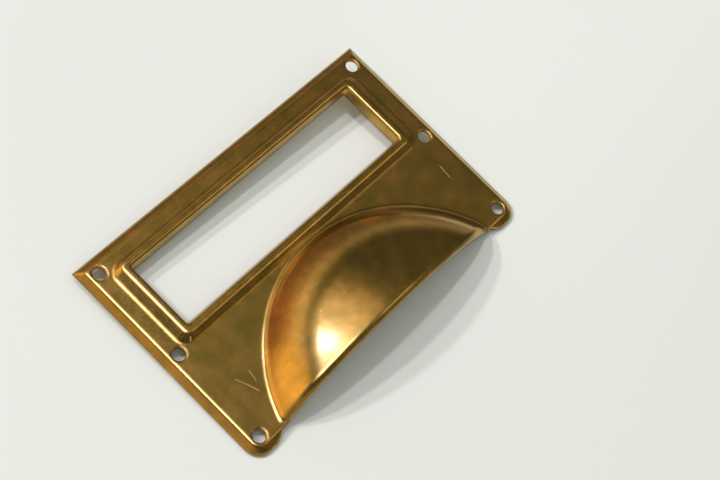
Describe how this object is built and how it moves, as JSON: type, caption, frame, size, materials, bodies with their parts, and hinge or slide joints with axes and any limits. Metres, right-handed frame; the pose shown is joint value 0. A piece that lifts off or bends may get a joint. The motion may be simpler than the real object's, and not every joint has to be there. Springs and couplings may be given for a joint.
{
  "type": "label frame pull",
  "caption": "Pressed brass drawer pull with a framed label window above a half-dome finger cup and screw holes down both sides.",
  "frame": {"origin": "centre of the plate's outline, on the back plane that lies against the drawer front", "axes": "+Z out of the drawer front, +X along the plate's width, +Y from the cup's mouth to the label window"},
  "size_m": [0.0966, 0.0598, 0.0119],
  "materials": {
    "brass": "aged, half-gloss"
  },
  "bodies": {
    "root": {"label_frame_pull": "brass"}
  },
  "joints": []
}
